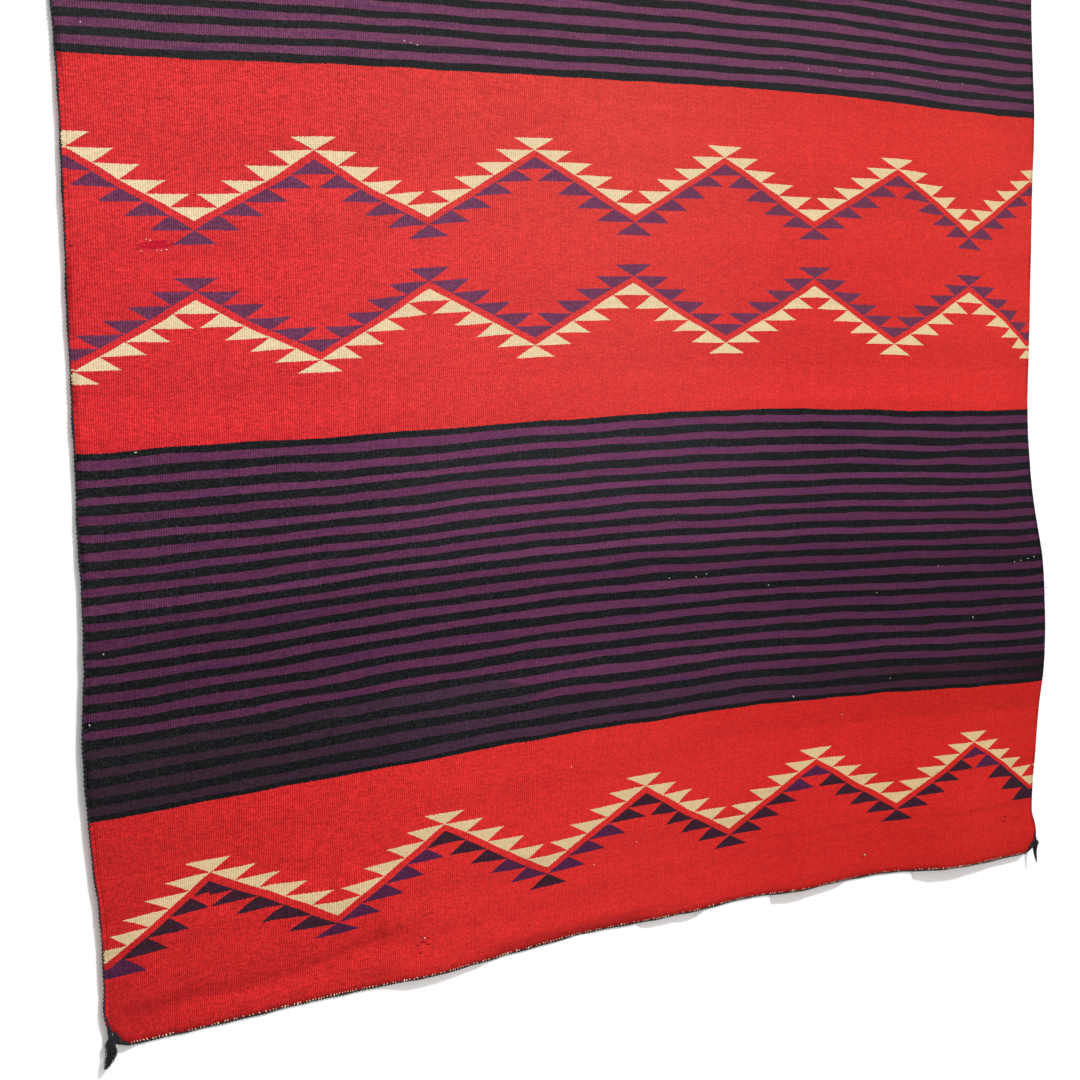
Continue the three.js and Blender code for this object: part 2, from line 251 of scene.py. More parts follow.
def tubes(paths, radii, sides=6):
    """Closed tubes along paths: a list of (n, 3) arrays with radii (n,) in metres. Returns verts, faces, tone."""
    verts, faces, which = [], [], []
    base = 0
    ang = np.arange(sides) * 2 * np.pi / sides
    for idx, (p, r) in enumerate(zip(paths, radii)):
        p = np.asarray(p, float)
        n = len(p)
        t = np.gradient(p, axis=0)
        t /= np.linalg.norm(t, axis=1)[:, None] + 1e-12
        up = np.array([0.0, 1.0, 0.0]) if abs(t[:, 1]).max() < 0.9 else np.array([0.31, 0.27, 0.91])
        u = np.zeros_like(p)
        u0 = up - t[0] * up.dot(t[0])
        u[0] = u0 / np.linalg.norm(u0)
        for i in range(1, n):
            v = u[i - 1] - t[i] * u[i - 1].dot(t[i])
            u[i] = v / (np.linalg.norm(v) + 1e-12)
        w = np.cross(t, u)
        r = np.broadcast_to(r, (n,))
        ring = (p[:, None, :] + r[:, None, None] * (np.cos(ang)[None, :, None] * u[:, None, :]
                + np.sin(ang)[None, :, None] * w[:, None, :])).reshape(-1, 3)
        verts.append(ring)
        verts.append(p[[0, -1]])
        a = base + np.arange(n - 1)[:, None] * sides + np.arange(sides)[None, :]
        b = base + np.arange(n - 1)[:, None] * sides + (np.arange(sides)[None, :] + 1) % sides
        q = np.stack([a, b, b + sides, a + sides], -1).reshape(-1, 4)
        faces.extend(q.tolist())
        c0, c1 = base + n * sides, base + n * sides + 1
        last = base + (n - 1) * sides
        for k in range(sides):
            faces.append((c0, base + (k + 1) % sides, base + k))
            faces.append((c1, last + k, last + (k + 1) % sides))
        which.append(np.full(n * sides + 2, idx))
        base += n * sides + 2
    return np.concatenate(verts), faces, np.concatenate(which)


# ---------------------------------------------------------------- shader arithmetic
class Shade:
    """Builds node arithmetic. Numbers and sockets mix freely."""

    def __init__(self, material):
        self.nt = material.node_tree
        self.at = 0

    def node(self, kind, **props):
        n = self.nt.nodes.new(kind)
        n.location = (-200 * (self.at % 40), -180 * (self.at // 40))
        self.at += 1
        for k, v in props.items():
            setattr(n, k, v)
        return n

    def put(self, socket, value):
        if isinstance(value, bpy.types.NodeSocket):
            self.nt.links.new(value, socket)
        else:
            socket.default_value = value

    def m(self, op, a, b=None, c=None, clamp=False):
        n = self.node("ShaderNodeMath", operation=op, use_clamp=clamp)
        self.put(n.inputs[0], a)
        if b is not None:
            self.put(n.inputs[1], b)
        if c is not None:
            self.put(n.inputs[2], c)
        return n.outputs[0]

    def add(self, *v):
        out = v[0]
        for x in v[1:]:
            out = self.m("ADD", out, x)
        return out

    def sub(self, a, b):
        return self.m("SUBTRACT", a, b)

    def mul(self, *v):
        out = v[0]
        for x in v[1:]:
            out = self.m("MULTIPLY", out, x)
        return out

    def lt(self, a, b):
        return self.m("LESS_THAN", a, b)

    def gt(self, a, b):
        return self.m("GREATER_THAN", a, b)

    def both(self, *v):
        return self.mul(*v)

    def either(self, *v):
        out = v[0]
        for x in v[1:]:
            out = self.m("MAXIMUM", out, x)
        return out

    def pick(self, k, a, b):
        """a where k is 0, b where k is 1."""
        return self.m("MULTIPLY_ADD", k, self.sub(b, a), a)

    def blend(self, a, b):
        """Two colours multiplied."""
        n = self.node("ShaderNodeMix", data_type="RGBA", blend_type="MULTIPLY")
        n.inputs[0].default_value = 1.0
        self.colour(n.inputs[6], a)
        self.colour(n.inputs[7], b)
        return n.outputs[2]

    def colour(self, socket, value):
        if isinstance(value, bpy.types.NodeSocket):
            self.nt.links.new(value, socket)
        else:
            socket.default_value = (*value[:3], 1.0)

    def xyz(self, x, y, z=0.0):
        n = self.node("ShaderNodeCombineXYZ")
        for s, v in zip(n.inputs, (x, y, z)):
            self.put(s, v)
        return n.outputs[0]

    def noise(self, vector, scale=1.0, detail=2.0, rough=0.5):
        n = self.node("ShaderNodeTexNoise")
        self.put(n.inputs["Vector"], vector)
        n.inputs["Scale"].default_value = scale
        n.inputs["Detail"].default_value = detail
        n.inputs["Roughness"].default_value = rough
        return n.outputs[0]

    def white(self, vector):
        n = self.node("ShaderNodeTexWhiteNoise", noise_dimensions="3D")
        self.put(n.inputs["Vector"], vector)
        return n.outputs["Value"]

    def ramp(self, v, lo, hi, a=0.0, b=1.0, soft=True):
        n = self.node("ShaderNodeMapRange", interpolation_type="SMOOTHSTEP" if soft else "LINEAR", clamp=True)
        for s, x in zip(n.inputs[:5], (v, lo, hi, a, b)):
            self.put(s, x)
        return n.outputs[0]

    def mix(self, k, a, b, mode="MIX"):
        n = self.node("ShaderNodeMix", data_type="RGBA", blend_type=mode)
        self.put(n.inputs[0], k)
        self.put(n.inputs[6], a if isinstance(a, bpy.types.NodeSocket) else (*a, 1.0))
        self.put(n.inputs[7], b if isinstance(b, bpy.types.NodeSocket) else (*b, 1.0))
        return n.outputs[2]

    def tone(self, colour, factor):
        """Multiplies a colour by a number."""
        n = self.node("ShaderNodeVectorMath", operation="SCALE")
        self.put(n.inputs[0], colour)
        self.put(n.inputs["Scale"], factor)
        return n.outputs[0]


def new_material(name, rough=0.9, sheen=0.0, sheen_rough=0.5, specular=0.25):
    mat = bpy.data.materials.new(name)
    mat.use_nodes = True
    nt = mat.node_tree
    bsdf = next(n for n in nt.nodes if n.type == "BSDF_PRINCIPLED")
    bsdf.inputs["Roughness"].default_value = rough
    bsdf.inputs["Metallic"].default_value = 0.0
    bsdf.inputs["Specular IOR Level"].default_value = specular
    bsdf.inputs["Sheen Weight"].default_value = sheen
    bsdf.inputs["Sheen Roughness"].default_value = sheen_rough
    return mat, bsdf, Shade(mat)


def lin(r, g, b):
    """A colour given as 0..255 display values, as linear light."""
    f = lambda c: (c / 255) / 12.92 if c <= 10.31475 else ((c / 255 + 0.055) / 1.055) ** 2.4
    return (f(r), f(g), f(b))


# ---------------------------------------------------------------- the woven web's material
WARP = 2.45          # across, one rib
BEAD = 1.20          # down, one showing turn of weft
TURN = 130.0         # across, half a zigzag
STEPS = 5            # rows of triangles down a slope
ROW = 14.14          # height of one row
DX = TURN / STEPS
LINE = 8.3           # the red line between the two colours, measured down

# wool colours, linear light
RED_MID = (0.618, 0.0410, 0.0365)
RED_END = (0.583, 0.0238, 0.0208)
BLACK = (0.0105, 0.0100, 0.0115)
FLECK = (0.0200, 0.0240, 0.0240)
VIOLET_A = (0.098, 0.0250, 0.066)
VIOLET_B = (0.119, 0.0315, 0.083)
VIOLET_UP = (0.146, 0.0450, 0.096)
VIOLET_BLUE = (0.076, 0.0220, 0.080)
VIOLET_ZIG = (0.124, 0.0370, 0.092)
DARK_END = (0.035, 0.0125, 0.0220)
MID_END = (0.066, 0.0148, 0.0480)
CREAM = (0.705, 0.553, 0.345)
TAN = (0.585, 0.438, 0.252)
CRIMSON = (0.420, 0.0070, 0.0240)
# fine dark stitches: x, down, x2, down2, width
LINES = [
    (0.0, 800.3, 8.0, 799.6, 0.5), (331.0, 1545.0, 344.0, 1554.5, 0.32),
    (347.0, 1556.5, 355.0, 1562.0, 0.38), (358.0, 1564.0, 364.0, 1568.5, 0.5),
    (362.0, 1571.5, 366.0, 1574.0, 0.6), (354.0, 1575.0, 358.0, 1576.0, 0.45),
    (368.0, 1575.5, 371.0, 1577.0, 0.5), (358.0, 1582.0, 359.5, 1586.0, 0.5),
    (363.0, 1543.0, 378.0, 1541.0, 0.35), (1219.0, 1557.0, 1233.0, 1556.0, 0.4),
    (1222.0, 1563.0, 1231.0, 1562.0, 0.5), (1238.0, 1560.0, 1256.0, 1561.0, 0.3)]


def stops(coord, lo, hi, table, constant=False):
    """Colour by place along a coordinate, from a short table given here."""
    n = S.node("ShaderNodeValToRGB")
    cr_ = n.color_ramp
    cr_.interpolation = "CONSTANT" if constant else "LINEAR"
    table = sorted(table, key=lambda q: q[0])

    def rgba(c):
        c = (c, c, c) if isinstance(c, (int, float)) else c
        return (*c, 1.0)

    cr_.elements[0].position = 0.0
    cr_.elements[0].color = rgba(table[0][1])
    cr_.elements[1].position = (table[-1][0] - lo) / (hi - lo)
    cr_.elements[1].color = rgba(table[-1][1])
    for at_, c in table[1:-1]:
        e = cr_.elements.new((at_ - lo) / (hi - lo))
        e.color = rgba(c)
    S.put(n.inputs[0], S.ramp(coord, lo, hi, soft=False))
    return n.outputs[0]


mat_web, bsdf, S = new_material("woven_wool", rough=0.95, sheen=0.0, sheen_rough=0.5, specular=0.03)
uvn = S.node("ShaderNodeUVMap", uv_map="chart")
split = S.node("ShaderNodeSeparateXYZ")
S.put(split.inputs[0], uvn.outputs[0])
U = S.mul(split.outputs[0], 1300.0)
V = S.sub(S.mul(split.outputs[1], 1612.0), MID_ROW)        # design row: 0 where the middle field starts
uvp = S.node("ShaderNodeUVMap", uv_map="place")
split2 = S.node("ShaderNodeSeparateXYZ")
S.put(split2.inputs[0], uvp.outputs[0])
X = S.mul(split2.outputs[0], 1300.0)                       # true place on the web, mm
Y = S.mul(split2.outputs[1], 1612.0)

# ribs and beads of the weave, a little uneven
wander = S.mul(S.sub(S.noise(S.xyz(S.mul(U, 0.02), S.mul(V, 0.006)), 1.0, 0.0), 0.5), 4.0)
Uw = S.add(U, wander)
rib = S.m("FLOOR", S.m("DIVIDE", Uw, WARP))
in_rib = S.m("FRACT", S.m("DIVIDE", Uw, WARP))
odd = S.m("FLOORED_MODULO", rib, 2.0)
Vs = S.add(S.m("DIVIDE", V, BEAD), S.mul(odd, 0.5))
bead = S.m("FLOOR", Vs)
in_bead = S.m("FRACT", Vs)
Uq = S.sub(S.mul(S.add(rib, 0.5), WARP), wander)
Vq = S.mul(S.sub(S.add(bead, 0.5), S.mul(odd, 0.5)), BEAD)

# the hand's unevenness: rows waver slowly along the weft
waver = S.mul(S.sub(S.noise(S.xyz(S.mul(Uq, 0.013), S.mul(Vq, 0.03), 3.0), 1.0, 1.0), 0.5), 5.0)
nick = S.mul(S.sub(S.white(S.xyz(rib, S.m("FLOOR", S.m("DIVIDE", Vq, 9.0)), 1.0)), 0.5), 0.4)
Ud = S.add(U, S.mul(S.sub(Uq, U), 0.45))                   # colours bleed a little from bead to bead
Vd = S.add(V, S.mul(S.sub(Vq, V), 0.45), waver, nick)

VM = S.add(S.m("ABSOLUTE", S.sub(Vd, 195.75)), 195.75)     # the design is the same below and above its middle
upper_half = S.lt(Vd, 195.75)
in_field = S.lt(VM, 391.5)
in_end = S.gt(VM, 761.1)
in_stripes = S.both(S.sub(1.0, in_field), S.sub(1.0, in_end))

# stripes
pitch = S.pick(upper_half, 18.26, 17.25)
first = S.pick(upper_half, 404.0, 404.7)
bent = S.add(VM, S.mul(S.sub(S.noise(S.xyz(S.mul(Uq, 0.007), S.mul(VM, 0.05), 11.0), 1.0, 0.0), 0.5), 3.8))
sv = S.m("DIVIDE", S.sub(bent, first), pitch)
stripe_no = S.m("FLOOR", S.add(sv, 0.5))
off = S.mul(S.m("ABSOLUTE", S.sub(S.m("FRACT", S.add(sv, 0.5)), 0.5)), pitch)
half_w = S.add(4.35, S.mul(S.sub(S.white(S.xyz(stripe_no, upper_half, 5.0)), 0.5), 1.1))
stripe = S.both(in_stripes, S.lt(off, half_w), S.gt(stripe_no, -0.5), S.lt(VM, 757.5))

# zigzags
near = S.m("ABSOLUTE", S.sub(S.m("FLOORED_MODULO", S.add(Ud, TURN), 2 * TURN), TURN))   # from the nearest even turn
a = S.pick(in_end, near, S.sub(TURN, near))
y = S.pick(in_end, S.sub(305.5, VM), S.sub(VM, 838.4))
FULL = ROW * STEPS
j = S.m("FLOOR", S.m("DIVIDE", y, ROW))
h = S.m("FRACT", S.m("DIVIDE", y, ROW))
curve = S.m("POWER", h, 0.92)
line_a = S.mul(S.m("DIVIDE", y, FULL), TURN)
outer = S.mul(S.sub(S.add(j, 1.87), S.mul(curve, 0.87)), DX)
slope_a = S.both(in_end, S.lt(Uq, TURN))        # the end field's first slope
slope_z = S.both(in_end, S.gt(Uq, 9 * TURN))
slope_b = S.both(in_end, S.gt(Uq, TURN), S.lt(Uq, 2 * TURN))
outer = S.add(outer, S.mul(slope_a, S.sub(1.0, h), S.ramp(j, 2.2, 2.8, 7.6, -1.7)))
pale_side = S.both(S.gt(y, 0.0), S.lt(y, FULL), S.gt(a, line_a), S.lt(a, outer))
pale_top = S.both(S.gt(y, -ROW), S.lt(y, 0.0), S.lt(a, S.mul(y, -DX / ROW, S.add(0.97, S.mul(slope_a, 0.24), S.mul(slope_b, -0.17)))))
# the first and last slopes of the end field's dark side have taller rows
tall = S.either(slope_a, slope_z)
row_p = S.pick(tall, ROW, ROW * 1.19)
dx_p = S.pick(tall, DX, 27.0)
reach = S.add(0.87, S.mul(tall, 0.13), S.mul(slope_b, 0.08))
yp = S.sub(y, S.pick(tall, S.add(LINE, S.mul(slope_b, 1.2)), LINE - 5.0))
j2 = S.m("FLOOR", S.m("DIVIDE", yp, row_p))
h2 = S.m("FRACT", S.m("DIVIDE", yp, row_p))
line_p = S.mul(S.sub(y, S.add(LINE, S.mul(slope_b, 1.0), S.mul(slope_z, -2.0))), TURN / FULL)
inner = S.mul(S.sub(j2, S.mul(S.m("POWER", h2, 0.9), reach)), dx_p)
depth_p = S.pick(tall, FULL, FULL * 1.19)
dark_side = S.both(S.gt(yp, 0.0), S.lt(yp, depth_p), S.lt(a, line_p), S.gt(a, inner))
ft = S.sub(y, LINE)
dark_foot = S.both(S.gt(ft, FULL), S.lt(ft, FULL + ROW), S.sub(1.0, tall),
                   S.lt(S.sub(TURN, a), S.mul(S.sub(ft, FULL), DX * 0.95 / ROW)))
in_zig = S.either(in_field, in_end)
pale = S.both(in_zig, S.either(pale_side, pale_top))
dark = S.both(in_zig, S.either(dark_side, dark_foot))

# colours
red = S.mix(in_end, RED_MID, RED_END)
lot = S.noise(S.xyz(S.mul(U, 0.0015), S.mul(Vd, 0.024), 7.0), 1.0, 1.0, 0.6)
red = S.tone(red, S.ramp(lot, 0.3, 0.7, 0.955, 1.045))
# the dye lots drift across the width; the darker red at the left edge is painted falloff of light
tint = stops(U, 0, 1300, [(0, (.92, .60, .80)), (225, (.97, .70, .90)), (424, (.99, .93, 1)), (650, (1, 1, 1)),
                          (755, (1, .90, .92)), (876, (1, .76, .78)), (1045, (1, .71, .70)), (1170, (1.02, .76, .72)),
                          (1300, (1.02, .74, .72))])
mid_tint = stops(Vd, 0, 391.5, [(0, (.99, 1.14, 1.07)), (150, (.98, 1.11, 1.06)), (195, (.97, 1, 1)),
                                (300, (.965, .98, .98)), (391, (.97, .89, .93))])
# in the end fields the red drifts with the dye lots, and is painted darker towards both sides: painted falloff of
# light
end_tint = stops(U, 0, 1300, [(0, (.82, 1.10, 1)), (130, (.88, 1.15, 1.04)), (325, (.95, 1.10, 1.03)),
                              (520, (.96, .98, 1)), (700, (.93, .95, .96)), (910, (.88, 1.02, 1)),
                              (1170, (.85, 1.0, .95)), (1300, (.84, 1.0, .95))])
red = S.blend(S.blend(red, tint), S.mix(in_end, mid_tint, end_tint))
kind = S.white(S.xyz(stripe_no, 2.0, 2.0))
violet_low = S.mix(kind, VIOLET_A, VIOLET_B)
violet = S.mix(upper_half, violet_low, VIOLET_UP)
# bluer and redder stretches of the same violet
hue = S.noise(S.xyz(S.mul(U, 0.012), S.mul(V, 0.09), 21.0), 1.0, 1.0, 0.6)
violet = S.mix(S.ramp(hue, 0.52, 0.75, 0.0, 0.55), violet, VIOLET_BLUE)
# the violet is painted darker towards both sides: painted falloff of light
violet = S.tone(violet, S.mul(S.ramp(U, 0, 260, 0.86, 1.0), S.ramp(U, 1040, 1300, 1.0, 0.84)))
ragged = S.add(Uq, S.mul(S.sub(S.noise(S.xyz(S.mul(Vq, 0.05), 0.0, 5.0), 1.0, 0.0), 0.5), 200.0))
late = S.both(S.gt(stripe_no, 15.5), S.sub(1.0, upper_half),
              S.either(S.gt(stripe_no, 17.5), S.lt(ragged, 500.0)))
faded = stops(U, 0, 1300, [(0, lin(55, 37, 49)), (400, lin(66, 43, 60)), (800, lin(78, 45, 67)),
                           (1150, lin(68, 37, 54)), (1300, lin(50, 30, 42))])
violet = S.mix(late, violet, faded)
spot = S.sub(S.white(S.xyz(rib, bead, 4.0)), 0.5)
dust = S.mul(S.ramp(Vd, 410, 610, 1.0, 0.0), S.ramp(U, 180, 450), S.ramp(U, 680, 920, 1.0, 0.0))
black = S.mix(dust, BLACK, (0.0142, 0.0142, 0.0155))
black = S.mix(S.ramp(spot, -0.1, 0.5, 0.0, 0.5), S.mix(upper_half, black, (0.0195, 0.0182, 0.0195)), FLECK)
striped = S.mix(stripe, black, violet)
# the stripes lighten and darken slowly down the band and across it: partly the wool's own unevenness, partly painted
# falloff of light towards the sides and down the band
down_gain = stops(Vd, 391, 761, [(391, .60), (480, .61), (545, .55), (590, .475), (620, .42), (670, .46), (700, .49),
                                 (730, .45), (761, .425)])
across_gain = stops(U, 0, 1300, [(0, .86), (130, .80), (260, .83), (390, .95), (520, 1.0), (650, .98), (780, .93),
                                 (910, .82), (1040, .78), (1170, .79), (1300, .82)])
striped = S.tone(striped, S.pick(upper_half, S.mul(down_gain, across_gain, 2.0), 1.02))
body = S.mix(in_stripes, red, striped)
pale_tint = stops(U, 0, 1300, [(0, (.97, .96, .98)), (650, (.985, .975, .965)), (1300, (1.01, .97, .85))])
pale_c = S.blend(S.mix(in_end, CREAM, TAN), pale_tint)
# which dark triangles of the end field have the brighter violet: (slope, row from its high turn)
slope_no = S.m("FLOOR", S.m("DIVIDE", Uq, TURN))
code = S.pick(dark_foot, S.add(S.mul(slope_no, 8.0), S.m("MINIMUM", j2, 4.0)),
              S.add(S.mul(S.m("FLOOR", S.m("DIVIDE", S.add(Uq, 65.0), TURN)), 8.0), 6.0))
lots = [(4, 4), (17, 20), (22, 22), (27, 28), (34, 36), (48, 49), (56, 56), (64, 64), (72, 73)]
brighter = stops(code, -1, 89, [(-1, 0.0)] + [q for lo_, hi_ in lots for q in ((lo_ - 0.5, 1.0), (hi_ + 0.5, 0.0))],
                 constant=True)
dark_end = S.mix(brighter, DARK_END, MID_END)
zig_tint = stops(U, 0, 1300, [(0, (1.02, .85, .82)), (450, (1.14, 1.12, 1.02)), (850, (1.14, .98, .85)),
                              (1300, (1.14, .95, .78))])
dark_c = S.mix(in_end, S.blend(VIOLET_ZIG, zig_tint), dark_end)
body = S.mix(pale, body, pale_c)
body = S.mix(dark, body, dark_c)

# heather: each bead's wool a little lighter or darker, and streaks along the weft
streak = S.sub(S.noise(S.xyz(S.mul(U, 0.06), S.mul(V, 0.62), 1.0), 1.0, 0.0), 0.5)
blot = S.sub(S.noise(S.xyz(S.mul(U, 0.09), S.mul(V, 0.13), 6.0), 1.0, 1.0, 0.6), 0.5)
pick_row = S.m("FLOOR", S.m("DIVIDE", Vq, 2.1))
length = S.m("FLOOR", S.add(S.m("DIVIDE", Uq, 12.0), S.mul(pick_row, 0.618)))
weft = S.sub(S.white(S.xyz(pick_row, length, 9.0)), 0.5)
rib_var = S.sub(S.white(S.xyz(rib, 0.0, 8.0)), 0.5)
tone = S.add(0.0, S.mul(spot, 0.46), S.mul(streak, 0.25), S.mul(blot, 0.05), S.mul(weft, 0.13), S.mul(rib_var, 0.06))
# the groove between ribs is in shade
groove = S.m("ABSOLUTE", S.sub(in_rib, 0.5))
tone = S.add(tone, S.ramp(groove, 0.18, 0.5, 0.14, -0.36))
tone = S.m("MULTIPLY_ADD", tone, S.mul(S.pick(pale, 1.0, 0.45), S.ramp(U, 150, 750, 1.0, 0.66)), 1.0)
# stretches of weft rows of another lot, left and right of a slanting join; the last stops, from 1592 down, are painted
# shade that darkens the rows towards the foot
left_rows = stops(Y, 1370, 1620, [(1370, .5), (1433, .5), (1434.5, .545), (1500, .545), (1501.5, .5), (1511, .5),
                                  (1512.5, .45), (1515, .45), (1516.5, .5), (1592, .5), (1606, .42), (1620, .36)])
right_rows = stops(Y, 1370, 1620, [(1370, .47), (1406.5, .47), (1408.5, .555), (1480, .54), (1481.5, .46), (1485, .46),
                                   (1486.5, .54), (1536, .53), (1537.5, .44), (1543.5, .44), (1545, .51), (1590, .5),
                                   (1606, .42), (1620, .37)])
mid_rows = stops(Y, 600, 1010, [(600, .5), (638, .5), (639.5, .54), (643, .54), (644.5, .5), (699, .5), (700.5, .46),
                                (703, .46), (704.5, .5), (867, .5), (868.5, .46), (872, .46), (873.5, .5), (944, .5),
                                (945.5, .46), (948, .46), (949.5, .5), (975, .5), (977, .53), (990, .53), (992, .5),
                                (1010, .5)])
join = S.ramp(S.sub(X, S.mul(S.sub(Y, 1400.0), 0.7)), 738.0, 746.0)
rows_gain = S.pick(S.gt(Y, 1368.0), mid_rows, S.pick(join, left_rows, right_rows))
tone = S.mul(tone, S.add(rows_gain, 0.5))
painted_fold_shade = S.node("ShaderNodeAttribute", attribute_name="painted_fold_shade")     # painted shade that darkens the sharpest folds, carried in as a vertex attribute
tone = S.mul(tone, S.sub(1.0, painted_fold_shade.outputs["Fac"]))
body = S.tone(body, tone)
# a small darned patch in a deeper crimson
px = S.m("DIVIDE", S.sub(X, 89.0), 16.5)
py = S.m("DIVIDE", S.sub(Y, 799.5), 5.6)
pr = S.add(S.m("SQRT", S.add(S.mul(px, px), S.mul(py, py))), S.mul(streak, 0.7), S.mul(weft, 0.25))
body = S.mix(S.ramp(pr, 0.8, 1.05, 0.85, 0.0), body, S.tone(CRIMSON, S.add(1.0, S.mul(spot, 0.7), S.mul(weft, 0.5))))
S.put(bsdf.inputs["Base Color"], body)

# relief: round ribs, beads, and the wool's own roughness
dome = S.m("SQRT", S.m("MAXIMUM", S.sub(1.0, S.m("POWER", S.mul(groove, 2.0), 2.0)), 0.0))
bead_dome = S.sub(1.0, S.m("POWER", S.mul(S.m("ABSOLUTE", S.sub(in_bead, 0.5)), 2.0), 2.0))
height = S.add(S.mul(dome, 0.7), S.mul(bead_dome, 0.3), S.mul(spot, 0.5))
bump = S.node("ShaderNodeBump")
bump.inputs["Strength"].default_value = 0.7
bump.inputs["Distance"].default_value = 0.0007
S.put(bump.inputs["Height"], height)
S.put(bsdf.inputs["Normal"], bump.outputs[0])

# ---------------------------------------------------------------- the web: one closed sheet on its folds
COLS, ROWS = 214, 230
share = np.linspace(0, 1, COLS + 1)
# rows stand evenly down the web
t = np.linspace(0, 1, ROWS + 1)
downs = WEB_LENGTH * t
DD = np.repeat(downs[:, None], COLS + 1, 1)
SS = np.repeat(share[None, :], ROWS + 1, 0)
XX = web_x(SS, DD) + (SS - 0.5) * 2 * 0.9        # the selvage runs in under the cord's lacing
flat_shape = DD.shape


FOLDS = [  # the sharper creases near the foot: x, down, x2, down2, width, lift
    (128, 1571, 240, 1561, 11, 4.0), (240, 1561, 330, 1542, 11, 3.2), (120, 1591, 250, 1584, 9, -2.6),
    (250, 1584, 330, 1566, 9, -2.2), (286, 1591, 332, 1590, 7, 1.6), (452, 1590, 640, 1593, 11, 3.4),
    (560, 1612, 660, 1604, 7, -1.2), (40, 1566, 128, 1571, 13, 1.8)]
PAINTED_FOLD_SHADE_STROKES = [  # painted shade along the sharpest folds: x, down, x2, down2, width, strength
    (105, 1576, 150, 1582, 9, 0.10), (150, 1582, 240, 1571, 6.5, 0.26), (240, 1571, 318, 1556, 6.5, 0.25),
    (318, 1556, 352, 1544, 8, 0.12), (296, 1599, 322, 1598, 5, 0.14), (440, 1606, 492, 1603, 6, 0.12),
    (492, 1603, 560, 1608, 8, 0.2), (560, 1608, 640, 1604, 7, 0.18), (30, 1596, 110, 1606, 40, 0.05)]


# how dark the painted fold shade is at each place of the web
def painted_fold_shade_at(x, d):
    out = np.zeros_like(x)
    for x1, d1, x2, d2, width, strong in PAINTED_FOLD_SHADE_STROKES:
        dx, dd = x2 - x1, d2 - d1
        k = np.clip(((x - x1) * dx + (d - d1) * dd) / (dx * dx + dd * dd), 0, 1)
        out = np.maximum(out, strong * bell(np.hypot(x - x1 - k * dx, d - d1 - k * dd), width))
    return out


def ripple(x, d):
    """Small soft unevenness of hand weaving, in mm."""
    out = np.zeros_like(x)
    for kx, kd, ph, amp in ((0.021, 0.013, 0.4, 0.35), (-0.034, 0.027, 2.1, 0.25), (0.011, -0.047, 4.0, 0.3),
                            (0.063, 0.041, 1.3, 0.12), (0.082, -0.015, 5.2, 0.12), (-0.05, 0.09, 0.9, 0.1)):
        out += amp * np.sin(kx * x + kd * d + ph + 1.7 * np.sin(0.006 * x - 0.004 * d + ph))
    for x1, d1, x2, d2, width, up in FOLDS:
        dx, dd = x2 - x1, d2 - d1
        k = np.clip(((x - x1) * dx + (d - d1) * dd) / (dx * dx + dd * dd), 0, 1)
        out += up * bell(np.hypot(x - x1 - k * dx, d - d1 - k * dd), width)
    return out * np.clip(d / 120, 0, 1)


mid = web_point(XX, DD)
mid[..., 1] -= ripple(XX, DD) * MM
mid[-1, :, 2] -= 0.7 * MM
mid[0, :, 2] += 0.7 * MM
gx = np.gradient(mid, axis=1)
gd = np.gradient(mid, axis=0)
nrm = np.cross(gd, gx)                       # faces -Y
nrm /= np.linalg.norm(nrm, axis=-1)[..., None]
if nrm[10, 10, 1] > 0:
    nrm = -nrm
# the two faces come together a little at the edges, as a selvage does
edge_mm = np.minimum(np.minimum(SS, 1 - SS) * 1270, np.minimum(DD, WEB_LENGTH - DD))
half = WEB_THICK / 2 * np.clip(0.86 + edge_mm / 20, 0.86, 1.0) * MM
front = mid + nrm * half[..., None]
back = mid - nrm * half[..., None]
cx, crow = chart_place(XX, DD)
uv = np.stack([cx / 1300.0, (crow + MID_ROW) / 1612.0], -1).reshape(-1, 2)
NV = flat_shape[0] * flat_shape[1]
verts = np.concatenate([front.reshape(-1, 3), back.reshape(-1, 3)])
uv = np.concatenate([uv, uv])
pl = np.stack([XX / 1300.0, DD / 1612.0], -1).reshape(-1, 2)
pl = np.concatenate([pl, pl])
C = COLS + 1
r_i, c_i = np.meshgrid(np.arange(ROWS), np.arange(COLS), indexing="ij")
f00 = (r_i * C + c_i).ravel()
f10 = f00 + C
f11 = f10 + 1
f01 = f00 + 1
faces = np.concatenate([np.stack([f00, f10, f11, f01], 1), np.stack([f00, f01, f11, f10], 1) + NV])
rim = []
for k in range(ROWS):
    a0, a1 = k * C, (k + 1) * C
    rim.append((a0, a0 + NV, a1 + NV, a1))
    b0, b1 = a0 + COLS, a1 + COLS
    rim.append((b0, b1, b1 + NV, b0 + NV))
for k in range(COLS):
    rim.append((k, k + 1, k + 1 + NV, k + NV))
    z = ROWS * C + k
    rim.append((z, z + NV, z + 1 + NV, z + 1))
faces = np.concatenate([faces, np.array(rim)])
# painted shade along the folds, kept per vertex for the web's material
painted_fold_shade_values = painted_fold_shade_at(XX, DD).ravel()
web = mesh_object("serape_web", verts, faces.tolist(), uvs=uv, places=pl, attrs={"painted_fold_shade": np.concatenate([painted_fold_shade_values, painted_fold_shade_values])})
web.data.materials.append(mat_web)
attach(web, "root")
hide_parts("serape_cloth")

